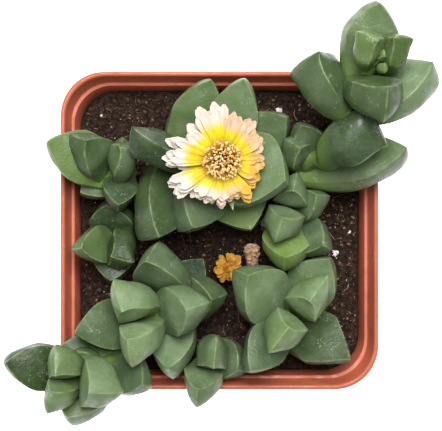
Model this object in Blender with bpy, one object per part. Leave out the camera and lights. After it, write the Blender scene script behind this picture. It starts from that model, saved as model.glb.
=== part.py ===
"""Potted corpuscularia: a square plastic pot of peat, nine stems of thick three-sided leaves, one open
flower, and a withered bloom beside its dry stalk. Metres, +Z up, origin at the middle of the pot's base."""
import math
import random

import bmesh
import bpy
from mathutils import Vector, noise

MM = 0.001
TOUCH_GAP = 0.3 * MM

# Pot: outside
POT_HEIGHT = 85 * MM
RIM_HALF = 52.5 * MM
RIM_CORNER = 14.5 * MM
CORNER_TAPER = 0.45
CORNER_STEPS = 6
COLLAR_HEIGHT = 15 * MM
COLLAR_FOOT_HALF = 51.3 * MM
WALL_TOP_HALF = 49.3 * MM
BASE_HALF = 37 * MM
BASE_EDGE = 1.2 * MM
BEAD = 0.8 * MM

# Pot: inside
SHELF_DROP = 7 * MM
SHELF_HALF = 49.5 * MM
SHELF_WIDTH = 0.9 * MM
SOIL_LINE_HALF = 47.6 * MM
WALL = 1.6 * MM
FLOOR = 2.4 * MM
DRAIN_RADIUS = 3.5 * MM
DRAIN_OFFSET = 19 * MM

# Soil
SOIL_TOP = 71.5 * MM
SOIL_EDGE_DROP = 0.5 * MM
SOIL_RINGS = (0.97, 0.86, 0.72, 0.57, 0.42, 0.27, 0.13)
SOIL_ROUGH = 1.1 * MM
SOIL_GRAIN = 9 * MM
HOLLOW_X, HOLLOW_Y = 1 * MM, -9 * MM
HOLLOW_REACH = 11 * MM
HOLLOW_DEPTH = 2.5 * MM

# Stems: each stands straight in its hole, then bends towards its first pair
STEM_RADIUS = 2.6 * MM
STEM_SIDES = 8
STEM_SINK = 11 * MM
STEM_RISE = 2 * MM
DRY_SINK = 6 * MM

# Leaves: shares of a leaf's length, and swellings as shares of its half width and depth
LEAF_RINGS = (0.0, 0.33, 0.62, 0.81, 0.93)
LEAF_WIDEST = 0.55
LEAF_DEEPEST = 0.74
BASE_NARROWING = 0.32
BASE_THINNING = 0.42
TIP_WIDTH_POWER = 1.7
TIP_DEPTH_POWER = 2.8
TIP_BACK = 0.2
CLOSED_GAP = 7 * MM
CLOSED_BACK = 0.9
LEAF_BOW = 0.05
FACE_BULGE = 0.13
FLANK = ((0.36, 0.12), (0.72, 0.1))
EDGE_ROUND = 0.5
KEEL_ROUND = 0.95
KEEL_ROUND_TIP = 0.15
CLASP = 3
PLUMP_STEM = "stem_north_east"
PLUMP_ROUND = 0.3
OVAL_WIDTH = 1.12

# Flower: its middle, its cup, its sepals (angle, length), and its petals in clumps (angle, spread, count,
# reach), in millimetres and degrees
FLOWER_X, FLOWER_Y, FLOWER_Z = 1 * MM, 22 * MM, 104 * MM
CALYX_PATH = ((0, 24.5, 90), (0.5, 23, 95), (1, 22, 100), (1, 22, 103.7))
CALYX_RADII = (2.0, 2.2, 4.2, 5.2)
CALYX_SIDES = 10
SEPALS = ((-78, 16), (24, 15), (52, 15), (150, 11), (215, 11))
SEPAL_DROP = 1.8 * MM
SEPAL_WIDTH = 4 * MM
SEPAL_DEPTH = 2.4 * MM
SEPAL_BACK = 0.3 * MM
DISC_RADIUS = 5.4 * MM
DISC_THICKNESS = 1.2 * MM
DISC_SIDES = 16
PETAL_CLUMPS = (
    (103, 30, 5, 19), (66, 36, 5, 16.5), (30, 34, 4, 15), (0, 26, 3, 13.5), (-28, 22, 3, 13.5),
    (-54, 8, 1, 16), (-72, 20, 3, 13.5), (-100, 24, 4, 15.5), (-128, 18, 3, 15.5), (-148, 20, 4, 20),
    (176, 16, 3, 19.5), (158, 12, 2, 19.5), (140, 14, 3, 16),
)
PETAL_ROOT = 3.6 * MM
PETAL_FOOT = 0.2 * MM
PETAL_WIDTH = 2.5 * MM
PETAL_THICKNESS = 0.7 * MM
PETAL_OUTLINE = ((0, 0.55), (0.4, 0.75), (0.75, 1), (0.93, 0.8), (1, 0.4))
PETAL_SLOPE = 0.1
PETAL_DROOP = 0.07
LAYER_RISE = 0.54 * MM
LAYER_SLOPE = 0.07

# Stamens: a tuft on its own small disc
STAMEN_COUNT = 42
STAMEN_LIFT = 0.9 * MM
STAMEN_DISC = 3.6 * MM
STAMEN_SPREAD = 0.86
STAMEN_HEIGHT = 4.6 * MM
STAMEN_FLARE = 1.8
STAMEN_DOME = 0.25
STAMEN_RADII = (0.42, 0.36, 0.52)

# Withered bloom on the end of its stalk, and the dry stalk beside it
BLOOM_X, BLOOM_Y = 3.2, -12.6
BLOOM_HEIGHT = 76 * MM
BLOOM_TOP = 78 * MM
BLOOM_STALK = 1.3
BLOOM_RADII = (BLOOM_STALK, BLOOM_STALK, 2.6, 1.8)
BLOOM_PETALS = 9
BLOOM_PETAL_ROOT = 0.8 * MM
BLOOM_PETAL_WIDTH = 2.6 * MM
BLOOM_PETAL_THICKNESS = 0.9 * MM
BLOOM_PETAL_DROOP = 0.35
STALK_PATH = ((11, -12, 65.5), (11, -12, 75), (10.8, -10, 79), (10.8, -5.5, 81.5))
STALK_RADII = (1.5, 1.6, 2.0, 2.5)
DRY_SIDES = 8

# Each stem is one shoot or more. A shoot is where it stands in the soil, then its pairs from below upwards.
# A pair is its place on the shoot, then for each leaf its apex, width, depth and the compass angle that its
# flat face looks to, in millimetres and degrees. For some it adds how far the face turns from the sky that way,
# and for one how pointed it is. A leaf on its own has lost its twin.
STEMS = {
    "stem_north_east": (((27.5, 19), (
        ((28.5, 21.5, 87), (59.3, 26.5, 102, 17.5, 12, 165, 1.5), (26.4, 26, 98, 11.5, 8, 330)),
        ((31, 23.5, 91), (26.4, 33.5, 96, 12, 8, 300)),
        ((38, 23, 94.5), (52.5, 26.5, 106.5, 19, 15, 355, 1.8)),
        ((43.5, 41.5, 102), (31, 55.4, 113, 19, 13, 35, 1.5), (66, 52.3, 112, 19, 12, 138)),
        ((46, 49, 107), (49, 69.5, 117, 18, 11, 270), (50.8, 43.8, 123, 18, 12, 78)),
        ((49, 52.5, 112), (48, 57, 124, 11.5, 8, 340, 1, 1.1), (52.3, 58, 123, 11.5, 8, 180, 1.5, 1.1)),
        ((50, 51.5, 113), (50.2, 52.8, 120, 3.6, 3, 270), (50.4, 51.2, 119.5, 3.6, 3, 90)),
    )),),
    "stem_flower": (((1, 22), (
        ((1, 22, 79), (10.5, 0.5, 87, 22, 9, 110), (21.5, 36.5, 95, 20, 9, 215)),
        ((0.5, 23.5, 86), (7.7, 48.3, 99, 17, 10, 250), (-8.3, 1, 101, 18, 13, 45, 2)),
        ((-0.8, 24.2, 89.4), (-27.5, 32.8, 106, 15, 9.5, 80, 1.6), (20.6, 16, 105, 26, 9, 150)),
    )), ((-13, 25), (
        ((-12, 25, 81), (-19, -1.8, 100, 18, 14, 35, 1.5), (-2.8, 48.7, 93, 18, 9, 262)),
    ))),
    "stem_west": (((-31.5, 21.5), (
        ((-31.5, 21, 81), (-45.5, 12.5, 88, 12, 7, 40)),
        ((-32.5, 21, 84), (-32.4, 8.5, 95, 12, 7, 75), (-32, 26, 90, 10, 7, 270)),
        ((-33.5, 19.5, 86), (-55, 28.5, 98, 18, 9, 345)),
        ((-36, 19.5, 87), (-42, 28, 98.5, 14, 10, 345), (-32.3, 25.8, 97, 12, 9, 165)),
    )),),
    "stem_west_low": (((-35, -3), (
        ((-35, -3, 78), (-37.5, 8, 86, 15.5, 8, 255), (-36, -16.5, 84, 14, 8, 90)),
        ((-34.5, -3.5, 79), (-44, -5.5, 92, 13, 7, 10), (-35.2, -8, 90, 14, 9, 190)),
    )),),
    "stem_centre": (((-17.5, -23.5), (
        ((-16.5, -23.5, 80), (-2.8, -22.5, 93, 17, 11, 195), (-5.5, -9.5, 84, 14, 7, 225)),
        ((-15, -26.5, 82), (-16.5, -44, 97.5, 15, 11, 100)),
        ((-16.5, -25, 84), (-23.3, -10, 103, 18, 11, 240)),
        ((-21, -27.5, 88), (-10.7, -25, 107, 17, 11, 196), (-46, -32.5, 102, 17, 6.5, 20)),
        ((-22.5, -28, 91), (-30, -25.5, 110, 13, 12, 286, 1.8), (-28.5, -33.5, 110, 13, 11, 106)),
    )),),
    "stem_south_west": (((-23.5, -39), (
        ((-36, -43, 90), (-24.5, -48.5, 105, 14.5, 7, 150), (-53, -39.5, 95, 17, 8, 0)),
        ((-41, -46, 94), (-48, -59, 104, 17, 9, 90), (-47.5, -39.5, 95.5, 10, 6, 280)),
        ((-45.5, -46, 97.5), (-40.5, -50, 115, 16, 12, 183), (-67, -41.6, 107, 15, 12, 350, 1.1)),
        ((-46.5, -46.5, 100), (-50.5, -45, 115, 10.5, 10, 262), (-51.8, -49.5, 114, 10, 9, 82)),
    )),),
    "stem_south": (((-2, -39), (
        ((-2, -40.5, 82), (5.6, -45.5, 90, 14, 8, 160)),
        ((-3.5, -42.5, 84), (-2, -44, 100, 10, 11, 270), (-7, -50.2, 99, 13, 9, 90)),
    )),),
    "stem_south_east": (((24, -25), (
        ((24.5, -27, 79), (35.5, -9.5, 89, 18, 9, 225)),
        ((23, -29, 83), (9.5, -14.5, 99, 20, 12, 333), (42, -41.3, 95, 19, 9, 135, 1, 1.1)),
        ((23, -28, 85), (10, -45, 98, 15, 9, 45, 1.5)),
        ((24, -27.5, 88), (28, -22.5, 107, 13, 12, 233), (22, -30, 107, 13, 12, 53)),
    )),),
    "stem_east": (((24.5, 1), (
        ((24, 1.5, 79), (33.3, -4.5, 93, 14, 8, 150)),
        ((23.5, 3.5, 80), (21, -8.5, 94, 17, 9, 90)),
        ((23.5, 5.5, 81), (31.2, 11.5, 92, 11, 8, 180), (17, 1.5, 88, 9, 6, 0)),
        ((23, 7, 82), (23.7, 12.3, 94.5, 12, 8, 257), (20.5, 4.5, 97, 13, 10, 77)),
    )),),
}


def clear_scene():
    for thing in list(bpy.data.objects):
        bpy.data.objects.remove(thing, do_unlink=True)


def make_material(name, colour, roughness):
    material = bpy.data.materials.new(name)
    material.use_nodes = True
    shader = material.node_tree.nodes["Principled BSDF"]
    shader.inputs["Base Color"].default_value = (*colour, 1)
    shader.inputs["Roughness"].default_value = roughness
    shader.inputs["Metallic"].default_value = 0
    return material


def add_object(name, mesh_source, material=None):
    """Make an object from a bmesh, with its faces pointing out."""
    bmesh.ops.recalc_face_normals(mesh_source, faces=mesh_source.faces)
    mesh = bpy.data.meshes.new(name)
    mesh_source.to_mesh(mesh)
    mesh_source.free()
    thing = bpy.data.objects.new(name, mesh)
    bpy.context.scene.collection.objects.link(thing)
    if material:
        mesh.materials.append(material)
    return thing


def bridge_rings(mesh_source, rings):
    """Join rings of equally many vertices with quads."""
    count = len(rings[0])
    for lower, upper in zip(rings, rings[1:]):
        for i in range(count):
            j = (i + 1) % count
            mesh_source.faces.new((lower[i], lower[j], upper[j], upper[i]))


def cap_with_point(mesh_source, ring, place):
    """Close a ring with a fan of triangles to one point."""
    point = mesh_source.verts.new(place)
    for i in range(len(ring)):
        mesh_source.faces.new((ring[i], ring[(i + 1) % len(ring)], point))


def fuse(name, pieces, material):
    """Join overlapping closed pieces into one body with one Boolean union on a collection."""
    first, rest = pieces[0], pieces[1:]
    group = bpy.data.collections.new(name + "_pieces")
    bpy.context.scene.collection.children.link(group)
    for piece in rest:
        bpy.context.scene.collection.objects.unlink(piece)
        group.objects.link(piece)
    union = first.modifiers.new("Union", "BOOLEAN")
    union.operation = "UNION"
    union.solver = "MANIFOLD"
    union.operand_type = "COLLECTION"
    union.collection = group
    graph = bpy.context.evaluated_depsgraph_get()
    joined = bpy.data.meshes.new_from_object(first.evaluated_get(graph))
    joined.name = name
    joined.materials.clear()
    joined.materials.append(material)
    result = bpy.data.objects.new(name, joined)
    bpy.context.scene.collection.objects.link(result)
    for piece in pieces:
        bpy.data.objects.remove(piece, do_unlink=True)
    bpy.data.collections.remove(group)
    return result


def round_the_compass(angle):
    """The level direction at an angle in radians."""
    return Vector((math.cos(angle), math.sin(angle), 0))


def rounded_square(half, corner, height):
    """Points round a square with round corners, anticlockwise."""
    points = []
    for quarter in range(4):
        middle = math.radians(45 + 90 * quarter)
        centre_x = math.copysign(half - corner, math.cos(middle))
        centre_y = math.copysign(half - corner, math.sin(middle))
        for step in range(CORNER_STEPS + 1):
            angle = math.radians(90 * (quarter + step / CORNER_STEPS))
            points.append(Vector((centre_x, centre_y, height)) + corner * round_the_compass(angle))
    return points


def corner_for(half):
    """The corners tighten as the wall tapers in from the rim."""
    return RIM_CORNER - (RIM_HALF - half) * CORNER_TAPER


def inner_half(height):
    """Half of the pot's inside width at a height below the shelf."""
    share = (height - FLOOR) / (SOIL_TOP - FLOOR)
    base = BASE_HALF - WALL
    return base + (SOIL_LINE_HALF - base) * share


def make_pot(material):
    """A tapered pot with a collar, a beaded rim, a shelf inside it and four drain holes."""
    collar_foot = POT_HEIGHT - COLLAR_HEIGHT
    shelf = POT_HEIGHT - SHELF_DROP
    profile = (
        (BASE_HALF - BASE_EDGE, 0.0),
        (BASE_HALF, BASE_EDGE),
        (WALL_TOP_HALF, collar_foot - BEAD),
        (COLLAR_FOOT_HALF, collar_foot),
        (RIM_HALF - BEAD * 0.4, POT_HEIGHT - BEAD * 2.8),
        (RIM_HALF, POT_HEIGHT - BEAD * 1.5),
        (RIM_HALF - BEAD * 0.4, POT_HEIGHT - BEAD * 0.4),
        (RIM_HALF - BEAD * 0.6, POT_HEIGHT),
        (RIM_HALF - BEAD * 1.2, POT_HEIGHT - BEAD * 0.5),
        (RIM_HALF - BEAD * 1.5, POT_HEIGHT - BEAD * 1.8),
        (SHELF_HALF, shelf + TOUCH_GAP),
        (SHELF_HALF - SHELF_WIDTH, shelf),
        (inner_half(SOIL_TOP), SOIL_TOP),
        (inner_half(FLOOR), FLOOR),
    )
    pot = bmesh.new()
    rings = []
    for half, height in profile:
        rings.append([pot.verts.new(point) for point in rounded_square(half, corner_for(half), height)])
    bridge_rings(pot, rings)
    pot.faces.new(rings[0])
    pot.faces.new(rings[-1])
    body = add_object("pot", pot, material)
    for i, (side_x, side_y) in enumerate(((1, 1), (-1, 1), (-1, -1), (1, -1))):
        place = Vector((side_x * DRAIN_OFFSET, side_y * DRAIN_OFFSET, 0))
        cut(body, make_cutter(f"drain_cutter_{i + 1}", place, -FLOOR, 2 * FLOOR, DRAIN_RADIUS))


def make_cutter(name, place, low, high, radius, sides=12):
    """A plain upright bar that cuts a hole between two heights."""
    bar = bmesh.new()
    rings = []
    for height in (low, high):
        level = Vector((place.x, place.y, height))
        turns = [math.tau * i / sides for i in range(sides)]
        rings.append([bar.verts.new(level + radius * round_the_compass(turn)) for turn in turns])
    bridge_rings(bar, rings)
    bar.faces.new(rings[0])
    bar.faces.new(rings[1])
    cutter = add_object(name, bar)
    cutter.hide_render = True
    cutter.display_type = "WIRE"
    return cutter


def cut(body, cutter):
    difference = body.modifiers.new(cutter.name, "BOOLEAN")
    difference.operation = "DIFFERENCE"
    difference.object = cutter


def soil_height(x, y):
    """The peat lies nearly level, a little rough, and dips in the middle."""
    away = math.hypot(x - HOLLOW_X, y - HOLLOW_Y) / HOLLOW_REACH
    rough = SOIL_ROUGH * noise.noise(Vector((x, y, 0)) / SOIL_GRAIN)
    return SOIL_TOP + rough - HOLLOW_DEPTH * math.exp(-away * away)


def make_soil(material):
    """One body of peat from the pot's floor up, clear of the walls by the touching gap."""
    soil = bmesh.new()
    edge_height = SOIL_TOP - SOIL_EDGE_DROP
    rings = []
    for height in (FLOOR + TOUCH_GAP, edge_height):
        half = inner_half(height) - TOUCH_GAP
        rings.append([soil.verts.new(point) for point in rounded_square(half, corner_for(half), height)])
    edge = inner_half(edge_height) - TOUCH_GAP
    for share in SOIL_RINGS:
        ring = []
        for point in rounded_square(edge, corner_for(edge), 0):
            x, y = point.x * share, point.y * share
            ring.append(soil.verts.new((x, y, soil_height(x, y))))
        rings.append(ring)
    bridge_rings(soil, rings)
    soil.faces.new(rings[0])
    cap_with_point(soil, rings[-1], (0, 0, soil_height(0, 0)))
    return add_object("soil", soil, material)


def soil_hole(soil, name, x, y, depth, radius):
    """A plain hole for a stem, in the given place in millimetres."""
    low = SOIL_TOP - depth - TOUCH_GAP
    high = SOIL_TOP + 2 * STEM_RISE
    cut(soil, make_cutter(name + "_hole", Vector((x, y, 0)) * MM, low, high, radius + TOUCH_GAP))


def ease(value):
    value = min(max(value, 0.0), 1.0)
    return value * value * (3 - 2 * value)


def width_share(t, power):
    """A leaf's width along its length: it swells to the middle and closes to a blunt point."""
    if t < LEAF_WIDEST:
        return 1 - BASE_NARROWING * (1 - t / LEAF_WIDEST) ** 2
    return 1 - ((t - LEAF_WIDEST) / (1 - LEAF_WIDEST)) ** power


def depth_share(t):
    """A leaf's depth from its flat face to its keel: the keel turns in sharply under the point."""
    if t < LEAF_DEEPEST:
        return 1 - BASE_THINNING * (1 - t / LEAF_DEEPEST) ** 2
    return 1 - ((t - LEAF_DEEPEST) / (1 - LEAF_DEEPEST)) ** TIP_DEPTH_POWER


def round_off(x, y, half, keel, share):
    """Move a point of a leaf's section part of the way to the oval round that section."""
    high = half * FACE_BULGE
    middle = (high - keel) / 2
    reach = math.hypot(x / half / OVAL_WIDTH, (y - middle) / (high - middle))
    scale = 1 - share + share / reach
    return x * scale, middle + (y - middle) * scale


def leaf_section(half, keel, edge_round, keel_round):
    """One cross-section of a leaf: its nearly flat face, then both swollen flanks down to the keel."""
    flank = [(half * (1 - share) + keel * bulge, -keel * share - half * bulge) for share, bulge in FLANK]
    left = [(-x, y) for x, y in flank]
    corners = [(half, 0.0), (0.0, half * FACE_BULGE), (-half, 0.0)] + left + [(0.0, -keel)] + flank[::-1]
    section = []
    for x, y in corners:
        share = edge_round + (keel_round - edge_round) * min(1, max(0, -y / keel))
        section.append(round_off(x, y, half, keel, share))
    return section


def make_leaf(base, apex, width, depth, facing, back, lean=1, power=TIP_WIDTH_POWER, plump=0.0):
    """A thick three-sided leaf; its flat face looks to the facing angle and up, its point bends back."""
    look = round_the_compass(math.radians(facing)) * lean + Vector((0, 0, 1))
    along = (apex - base).normalized()
    face = (look - along * look.dot(along)).normalized()
    straight = apex + face * back
    along = (straight - base).normalized()
    face = (look - along * look.dot(along)).normalized()
    side = along.cross(face)
    foot = base - along * CLASP * MM
    length = (straight - foot).length
    leaf = bmesh.new()
    rings = []
    for t in LEAF_RINGS:
        past_widest = (t - LEAF_WIDEST) / (1 - LEAF_WIDEST)
        drop = back * ease(past_widest) + LEAF_BOW * length * 4 * t * (1 - t)
        centre = foot + along * length * t - face * drop
        edge_round = EDGE_ROUND * (1 - ease((t - 0.25) / 0.5)) + plump
        keel_round = KEEL_ROUND + (KEEL_ROUND_TIP - KEEL_ROUND) * ease((t - 0.5) / 0.45)
        half = width / 2 * width_share(t, power)
        section = leaf_section(half, depth * depth_share(t), edge_round, keel_round)
        rings.append([leaf.verts.new(centre + side * x + face * y) for x, y in section])
    bridge_rings(leaf, rings)
    leaf.faces.new(rings[0])
    cap_with_point(leaf, rings[-1], apex)
    return add_object("leaf", leaf)


def smooth_path(points, steps):
    """A smooth curve through the points, with this many steps between each two."""
    path = []
    for i in range(len(points) - 1):
        before = points[max(i - 1, 0)]
        start, end = points[i], points[i + 1]
        after = points[min(i + 2, len(points) - 1)]
        for step in range(steps):
            t = step / steps
            slope = end - before
            bend = 2 * before - 5 * start + 4 * end - after
            twist = 3 * start - before - 3 * end + after
            path.append((2 * start + slope * t + bend * t ** 2 + twist * t ** 3) / 2)
    path.append(points[-1])
    return path


def make_tube(path, radii, sides):
    """A closed tube along a path, with its ends capped."""
    tube = bmesh.new()
    rings = []
    across = Vector((1, 0, 0))
    for i, point in enumerate(path):
        ahead = (path[min(i + 1, len(path) - 1)] - path[max(i - 1, 0)]).normalized()
        across = (across - ahead * across.dot(ahead)).normalized()
        other = ahead.cross(across)
        ring = []
        for step in range(sides):
            angle = math.tau * step / sides
            spoke = across * math.cos(angle) + other * math.sin(angle)
            ring.append(tube.verts.new(point + spoke * radii[i]))
        rings.append(ring)
    bridge_rings(tube, rings)
    tube.faces.new(rings[0])
    tube.faces.new(rings[-1])
    return add_object("tube", tube)


def make_shoot(foot, pairs, plump):
    """A shoot that stands in the soil and carries its leaves in pairs, each pair joined at the shoot."""
    places = [Vector(place) * MM for place, *_ in pairs]
    ground = Vector((foot[0] * MM, foot[1] * MM, SOIL_TOP))
    above = ground + Vector((0, 0, STEM_RISE))
    path = [ground - Vector((0, 0, STEM_SINK))] + smooth_path([above] + places, 2)
    pieces = [make_tube(path, [STEM_RADIUS] * len(path), STEM_SIDES)]
    for base, (_, *leaves) in zip(places, pairs):
        apexes = [Vector(leaf[:3]) * MM for leaf in leaves]
        half_gap = (apexes[0] - apexes[-1]).length / 2
        closed = len(leaves) == 2 and half_gap < CLOSED_GAP
        for apex, (_, _, _, width, depth, facing, *shape) in zip(apexes, leaves):
            back = half_gap * CLOSED_BACK if closed else TIP_BACK * depth * MM
            pieces.append(make_leaf(base, apex, width * MM, depth * MM, facing, back, *shape, plump=plump))
    return pieces


def make_blade(root, direction, slope, length, width, thickness, droop):
    """A narrow petal of even thickness that leaves its root at a slope and droops towards its end."""
    along = round_the_compass(direction)
    across = Vector((-along.y, along.x, 0))
    blade = bmesh.new()
    rings = []
    for t, share in PETAL_OUTLINE:
        half = width / 2 * share
        centre = root + along * length * t + Vector((0, 0, length * (slope * t - droop * t * t)))
        ring = []
        for side, level in ((1, 0), (1, 1), (-1, 1), (-1, 0)):
            ring.append(blade.verts.new(centre + across * half * side + Vector((0, 0, thickness * level))))
        rings.append(ring)
    bridge_rings(blade, rings)
    blade.faces.new(rings[0])
    blade.faces.new(rings[-1])
    return add_object("blade", blade)


def make_calyx():
    """The green cup under the flower, on its short stalk, with its narrow sepals."""
    path = [Vector(point) * MM for point in CALYX_PATH]
    pieces = [make_tube(path, [radius * MM for radius in CALYX_RADII], CALYX_SIDES)]
    root = Vector((FLOWER_X, FLOWER_Y, FLOWER_Z - SEPAL_DROP))
    for angle, length in SEPALS:
        apex = root + round_the_compass(math.radians(angle)) * length * MM - Vector((0, 0, SEPAL_BACK))
        pieces.append(make_leaf(root, apex, SEPAL_WIDTH, SEPAL_DEPTH, angle + 180, SEPAL_BACK))
    return pieces


def make_petals(material, draw):
    """Many narrow petals in two layers, clumped and uneven, joined by a disc."""
    middle = Vector((FLOWER_X, FLOWER_Y, FLOWER_Z))
    disc_top = middle + Vector((0, 0, DISC_THICKNESS))
    pieces = [make_tube([middle, disc_top], [DISC_RADIUS, DISC_RADIUS], DISC_SIDES)]
    layer = 0
    for angle, spread, count, reach in PETAL_CLUMPS:
        for i in range(count):
            layer = 1 - layer
            turn = angle + spread * ((i + 0.5) / count - 0.5) + draw.uniform(-1.5, 1.5)
            direction = math.radians(turn)
            length = reach * MM * draw.uniform(0.92, 1) - PETAL_ROOT
            root = middle + round_the_compass(direction) * PETAL_ROOT
            root.z += PETAL_FOOT + LAYER_RISE * layer
            slope = PETAL_SLOPE + LAYER_SLOPE * layer + draw.uniform(-0.02, 0.03)
            width = PETAL_WIDTH * draw.uniform(0.85, 1.15)
            pieces.append(make_blade(root, direction, slope, length, width, PETAL_THICKNESS, PETAL_DROOP))
    fuse("petals", pieces, material)


def make_stamens(material, draw):
    """A tuft of stamens that lean outwards, the outer ones shorter."""
    middle = Vector((FLOWER_X, FLOWER_Y, FLOWER_Z + DISC_THICKNESS + STAMEN_LIFT + TOUCH_GAP))
    disc_top = middle + Vector((0, 0, MM))
    pieces = [make_tube([middle, disc_top], [STAMEN_DISC, STAMEN_DISC], DISC_SIDES)]
    golden_turn = math.pi * (3 - math.sqrt(5))
    for i in range(STAMEN_COUNT):
        share = STAMEN_SPREAD * math.sqrt((i + 0.5) / STAMEN_COUNT)
        out = round_the_compass(i * golden_turn + draw.uniform(-0.2, 0.2)) * STAMEN_DISC * share
        height = STAMEN_HEIGHT * draw.uniform(0.8, 1.05) * (1 - STAMEN_DOME * share * share)
        foot = middle + out + Vector((0, 0, MM / 2))
        top = middle + out * STAMEN_FLARE + Vector((0, 0, height))
        path = [foot, foot.lerp(top, 0.6), top]
        pieces.append(make_tube(path, [radius * MM for radius in STAMEN_RADII], 3))
    fuse("stamens", pieces, material)


def make_old_bloom(material, draw):
    """A shrivelled bloom that still stands on the end of its stalk."""
    place = Vector((BLOOM_X, BLOOM_Y, 0)) * MM
    heights = (SOIL_TOP - DRY_SINK, SOIL_TOP, BLOOM_HEIGHT, BLOOM_TOP)
    path = [place + Vector((0, 0, height)) for height in heights]
    pieces = [make_tube(path, [radius * MM for radius in BLOOM_RADII], DRY_SIDES)]
    for i in range(BLOOM_PETALS):
        direction = math.tau * i / BLOOM_PETALS + draw.uniform(-0.15, 0.15)
        root = path[2] + round_the_compass(direction) * BLOOM_PETAL_ROOT
        slope = draw.uniform(0.5, 1.0)
        length = draw.uniform(3.6, 4.8) * MM
        pieces.append(make_blade(root, direction, slope, length, BLOOM_PETAL_WIDTH, BLOOM_PETAL_THICKNESS,
                                 BLOOM_PETAL_DROOP))
    fuse("old_bloom", pieces, material)


def make_dry_stalk(material):
    """The stump of an old flower stalk, wider at its broken end."""
    path = [Vector(point) * MM for point in STALK_PATH]
    stalk = make_tube(path, [radius * MM for radius in STALK_RADII], DRY_SIDES)
    stalk.name = "dry_stalk"
    stalk.data.name = "dry_stalk"
    stalk.data.materials.append(material)


def main():
    clear_scene()
    draw = random.Random(7)
    terracotta = make_material("terracotta_plastic", (0.42, 0.10, 0.045), 0.45)
    peat = make_material("peat", (0.03, 0.018, 0.012), 0.95)
    green = make_material("leaf_green", (0.13, 0.24, 0.13), 0.5)
    petal = make_material("petal_cream", (0.85, 0.72, 0.3), 0.6)
    stamen = make_material("stamen_tan", (0.6, 0.35, 0.08), 0.7)
    withered = make_material("withered_orange", (0.4, 0.18, 0.02), 0.85)
    straw = make_material("dry_straw", (0.4, 0.25, 0.14), 0.85)
    make_pot(terracotta)
    soil = make_soil(peat)
    for name, shoots in STEMS.items():
        pieces = []
        plump = PLUMP_ROUND if name == PLUMP_STEM else 0.0
        for i, (foot, pairs) in enumerate(shoots):
            pieces += make_shoot(foot, pairs, plump)
            soil_hole(soil, f"{name}_{i + 1}", foot[0], foot[1], STEM_SINK, STEM_RADIUS)
        if name == "stem_flower":
            pieces += make_calyx()
        fuse(name, pieces, green)
    make_petals(petal, draw)
    make_stamens(stamen, draw)
    make_old_bloom(withered, draw)
    soil_hole(soil, "old_bloom", BLOOM_X, BLOOM_Y, DRY_SINK, BLOOM_STALK * MM)
    make_dry_stalk(straw)
    soil_hole(soil, "dry_stalk", STALK_PATH[0][0], STALK_PATH[0][1], DRY_SINK, STALK_RADII[1] * MM)


main()
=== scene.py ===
"""Looks of the potted corpuscularia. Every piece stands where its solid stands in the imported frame, which
has its origin at the middle of the pot's base, +Z up, in metres. Lengths below are in millimetres."""
import math
import random

import bpy
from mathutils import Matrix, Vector, noise


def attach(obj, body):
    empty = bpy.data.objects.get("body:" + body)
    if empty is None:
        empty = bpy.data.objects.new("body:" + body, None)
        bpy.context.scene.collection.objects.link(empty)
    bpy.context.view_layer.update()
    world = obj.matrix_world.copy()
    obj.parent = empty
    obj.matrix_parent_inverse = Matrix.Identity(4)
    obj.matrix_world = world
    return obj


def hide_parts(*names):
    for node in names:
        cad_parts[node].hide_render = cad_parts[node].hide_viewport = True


MM = 0.001
TOUCH_GAP = 0.3

# Pot, outside and inside
POT_HEIGHT = 85
RIM_HALF = 52.5
RIM_CORNER = 14.5
CORNER_TAPER = 0.45
CORNER_STEPS = 20
COLLAR_HEIGHT = 15
COLLAR_FOOT_HALF = 51.3
WALL_TOP_HALF = 49.3
BASE_HALF = 37
BASE_EDGE = 1.2
BEAD = 0.8
SHELF_DROP = 7
SHELF_HALF = 49.5
SHELF_WIDTH = 0.9
SOIL_LINE_HALF = 47.6
WALL = 1.6
FLOOR = 2.4
DRAIN_RADIUS = 3.5
DRAIN_OFFSET = 19
WALL_BEND = 30
RIM_ROWS = 3

# Soil: its surface, then what lies on it
SOIL_TOP = 71.5
SOIL_EDGE_DROP = 0.5
SOIL_ROUGH = 1.1
SOIL_GRAIN = 9
HOLLOW_X, HOLLOW_Y = 1, -9
HOLLOW_REACH = 11
HOLLOW_DEPTH = 2.5
SOIL_SPOKES = 300
SOIL_CIRCLES = 56
CRUMB_COUNT = 7500
PERLITE_COUNT = 330
FIBRE_COUNT = 150
CRUMB_SIZE, CRUMB_SPREAD = 0.22, 0.5
PERLITE_SIZE, PERLITE_SPREAD = 0.12, 0.2
PERLITE_LUMPS = 7
FIBRE_LENGTH, FIBRE_SPREAD = 1.2, 3.5
FIBRE_TURN = 25
# Large perlite grains: place and size
PERLITE_SPOTS = ((20.3, 40.4, 1.5), (39.4, -7.8, 1.3), (44.1, -0.5, 0.7), (34, 31, 0.6), (-40, 39, 0.5))

# Stems and leaves, as shares of a leaf's length, half width and depth
STEM_RADIUS = 2.6
STEM_SIDES = 16
STEM_SINK = 11
STEM_RISE = 2
BARK_TOP = 84
LEAF_STEPS = 26
LEAF_WIDEST = 0.55
LEAF_DEEPEST = 0.74
BASE_NARROWING = 0.32
BASE_THINNING = 0.42
TIP_WIDTH_POWER = 1.7
TIP_DEPTH_POWER = 2.8
TIP_BACK = 0.2
CLOSED_GAP = 7
CLOSED_BACK = 0.9
LEAF_BOW = 0.05
FACE_BULGE = 0.13
FLANK_BULGE = 0.13
EDGE_ROUND = 0.5
KEEL_ROUND = 0.95
KEEL_ROUND_TIP = 0.15
CLASP = 3
PLUMP_STEM = "stem_north_east"
PLUMP_ROUND = 0.3
OVAL_WIDTH = 1.12
SIDE_SHARES = (0, 0.03, 0.075, 0.15, 0.27, 0.42, 0.58, 0.73, 0.85, 0.925, 0.97)
RIDGE_REACH = 0.3
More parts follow.
